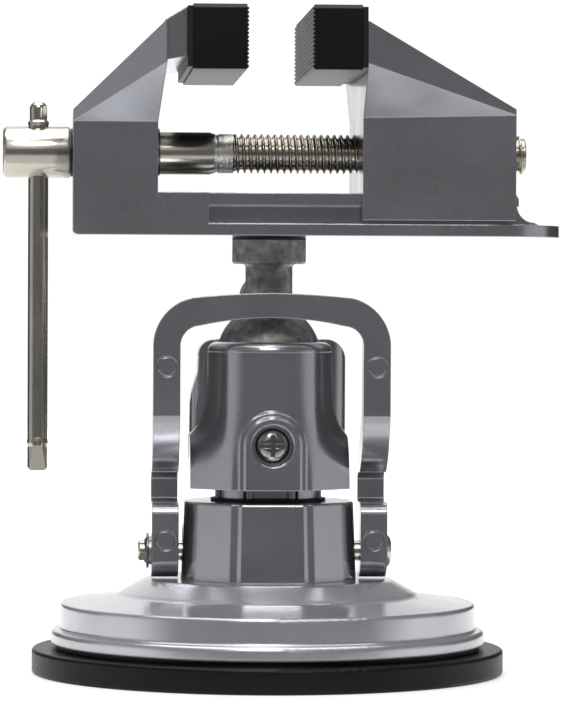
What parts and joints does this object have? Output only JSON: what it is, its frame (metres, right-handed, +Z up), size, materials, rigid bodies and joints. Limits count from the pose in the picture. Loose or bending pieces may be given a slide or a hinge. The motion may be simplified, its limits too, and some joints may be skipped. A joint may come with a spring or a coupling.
{
  "type": "suction base bench vise",
  "caption": "Small bench vise with ribbed rubber jaws on a screw-driven slide, a tilting and turning ball head, and a suction base that a U-shaped lever locks",
  "frame": {"origin": "centre of the suction disc's flat underside, on the bench", "axes": "+Z up, +X along the clamping screw from its handle to the moving jaw, -Y towards the user's front with the lever's bar"},
  "size_m": [0.1334, 0.1132, 0.1579],
  "materials": {
    "casting": "gunmetal silver metallic paint, satin to gloss",
    "rough_casting": "raw mottled casting",
    "nickel_steel": "warm nickel plate",
    "dark_steel": "dark oiled steel",
    "plated_steel": "zinc plate",
    "black_rubber": "matte rubber",
    "jaw_rubber": "ribbed matte rubber",
    "black_plastic": "matte"
  },
  "bodies": {
    "base": {"suction_pad": "black_rubber", "base_cover": "casting", "pedestal": "casting", "pedestal_screws": "dark_steel", "swivel_washer": "black_plastic"},
    "stud": {"pull_stud": "plated_steel", "pad_plate": "plated_steel"},
    "lever": {"suction_lever": "casting", "lever_axle": "nickel_steel", "axle_clip": "nickel_steel", "axle_washers": "plated_steel"},
    "housing": {"socket_front": "casting", "swivel_bolt": "dark_steel", "clamp_bolt": "dark_steel"},
    "rear_shell": {"socket_rear": "casting", "clamp_washer": "plated_steel"},
    "handle": {"clamp_handle": "casting"},
    "stem": {"ball_stem": "rough_casting", "head_washer": "black_plastic", "head_bolt": "dark_steel"},
    "head": {"fixed_jaw": "casting", "fixed_grip": "jaw_rubber", "fixed_grip_plate": "black_plastic", "thrust_washer": "black_plastic"},
    "jaw": {"moving_jaw": "casting", "moving_grip": "jaw_rubber", "moving_grip_plate": "black_plastic"},
    "screw": {"lead_screw": "nickel_steel", "retaining_ring": "dark_steel"},
    "bar": {"t_bar": "nickel_steel"}
  },
  "joints": [
    {"name": "stud_lift", "type": "slide", "parent": "base", "child": "stud", "axis": [0, 0, 1], "range_m": [0, 0.0037]},
    {"name": "lever_swing", "type": "hinge", "parent": "stud", "child": "lever", "pos_m": [0, 0, 0.0292], "axis": [1, 0, 0], "range_deg": [0, 82]},
    {"name": "housing_swivel", "type": "hinge", "parent": "base", "child": "housing", "pos_m": [0, 0, 0.0421], "axis": [0, 0, 1], "range_deg": [-45, 45]},
    {"name": "clamp_open", "type": "slide", "parent": "housing", "child": "rear_shell", "axis": [0, 1, 0], "range_m": [0, 0.0002]},
    {"name": "clamp_turn", "type": "hinge", "parent": "rear_shell", "child": "handle", "pos_m": [0, 0.022, 0.05505], "axis": [0, 1, 0], "range_deg": [0, 90]},
    {"name": "stem_lean", "type": "hinge", "parent": "housing", "child": "stem", "pos_m": [0, 0, 0.0759], "axis": [0, 1, 0], "range_deg": [-25, 25]},
    {"name": "head_spin", "type": "hinge", "parent": "stem", "child": "head", "pos_m": [0, 0, 0.1045], "axis": [0, 0, 1], "continuous": true},
    {"name": "screw_turn", "type": "hinge", "parent": "head", "child": "screw", "pos_m": [0, 0, 0.1245], "axis": [1, 0, 0], "range_deg": [-6123, 3311]},
    {"name": "jaw_slide", "type": "slide", "parent": "head", "child": "jaw", "axis": [1, 0, 0], "range_m": [-0.0146, 0.027]},
    {"name": "t_bar_slide", "type": "slide", "parent": "screw", "child": "bar", "axis": [0, 0, 1], "range_m": [0, 0.062]}
  ],
  "couplings": [
    {"joint": "lever_swing", "follows": "stud_lift", "rad_per_m": 386.8},
    {"joint": "clamp_turn", "follows": "clamp_open", "rad_per_m": 7854},
    {"joint": "screw_turn", "follows": "jaw_slide", "rad_per_m": -3957.9}
  ]
}
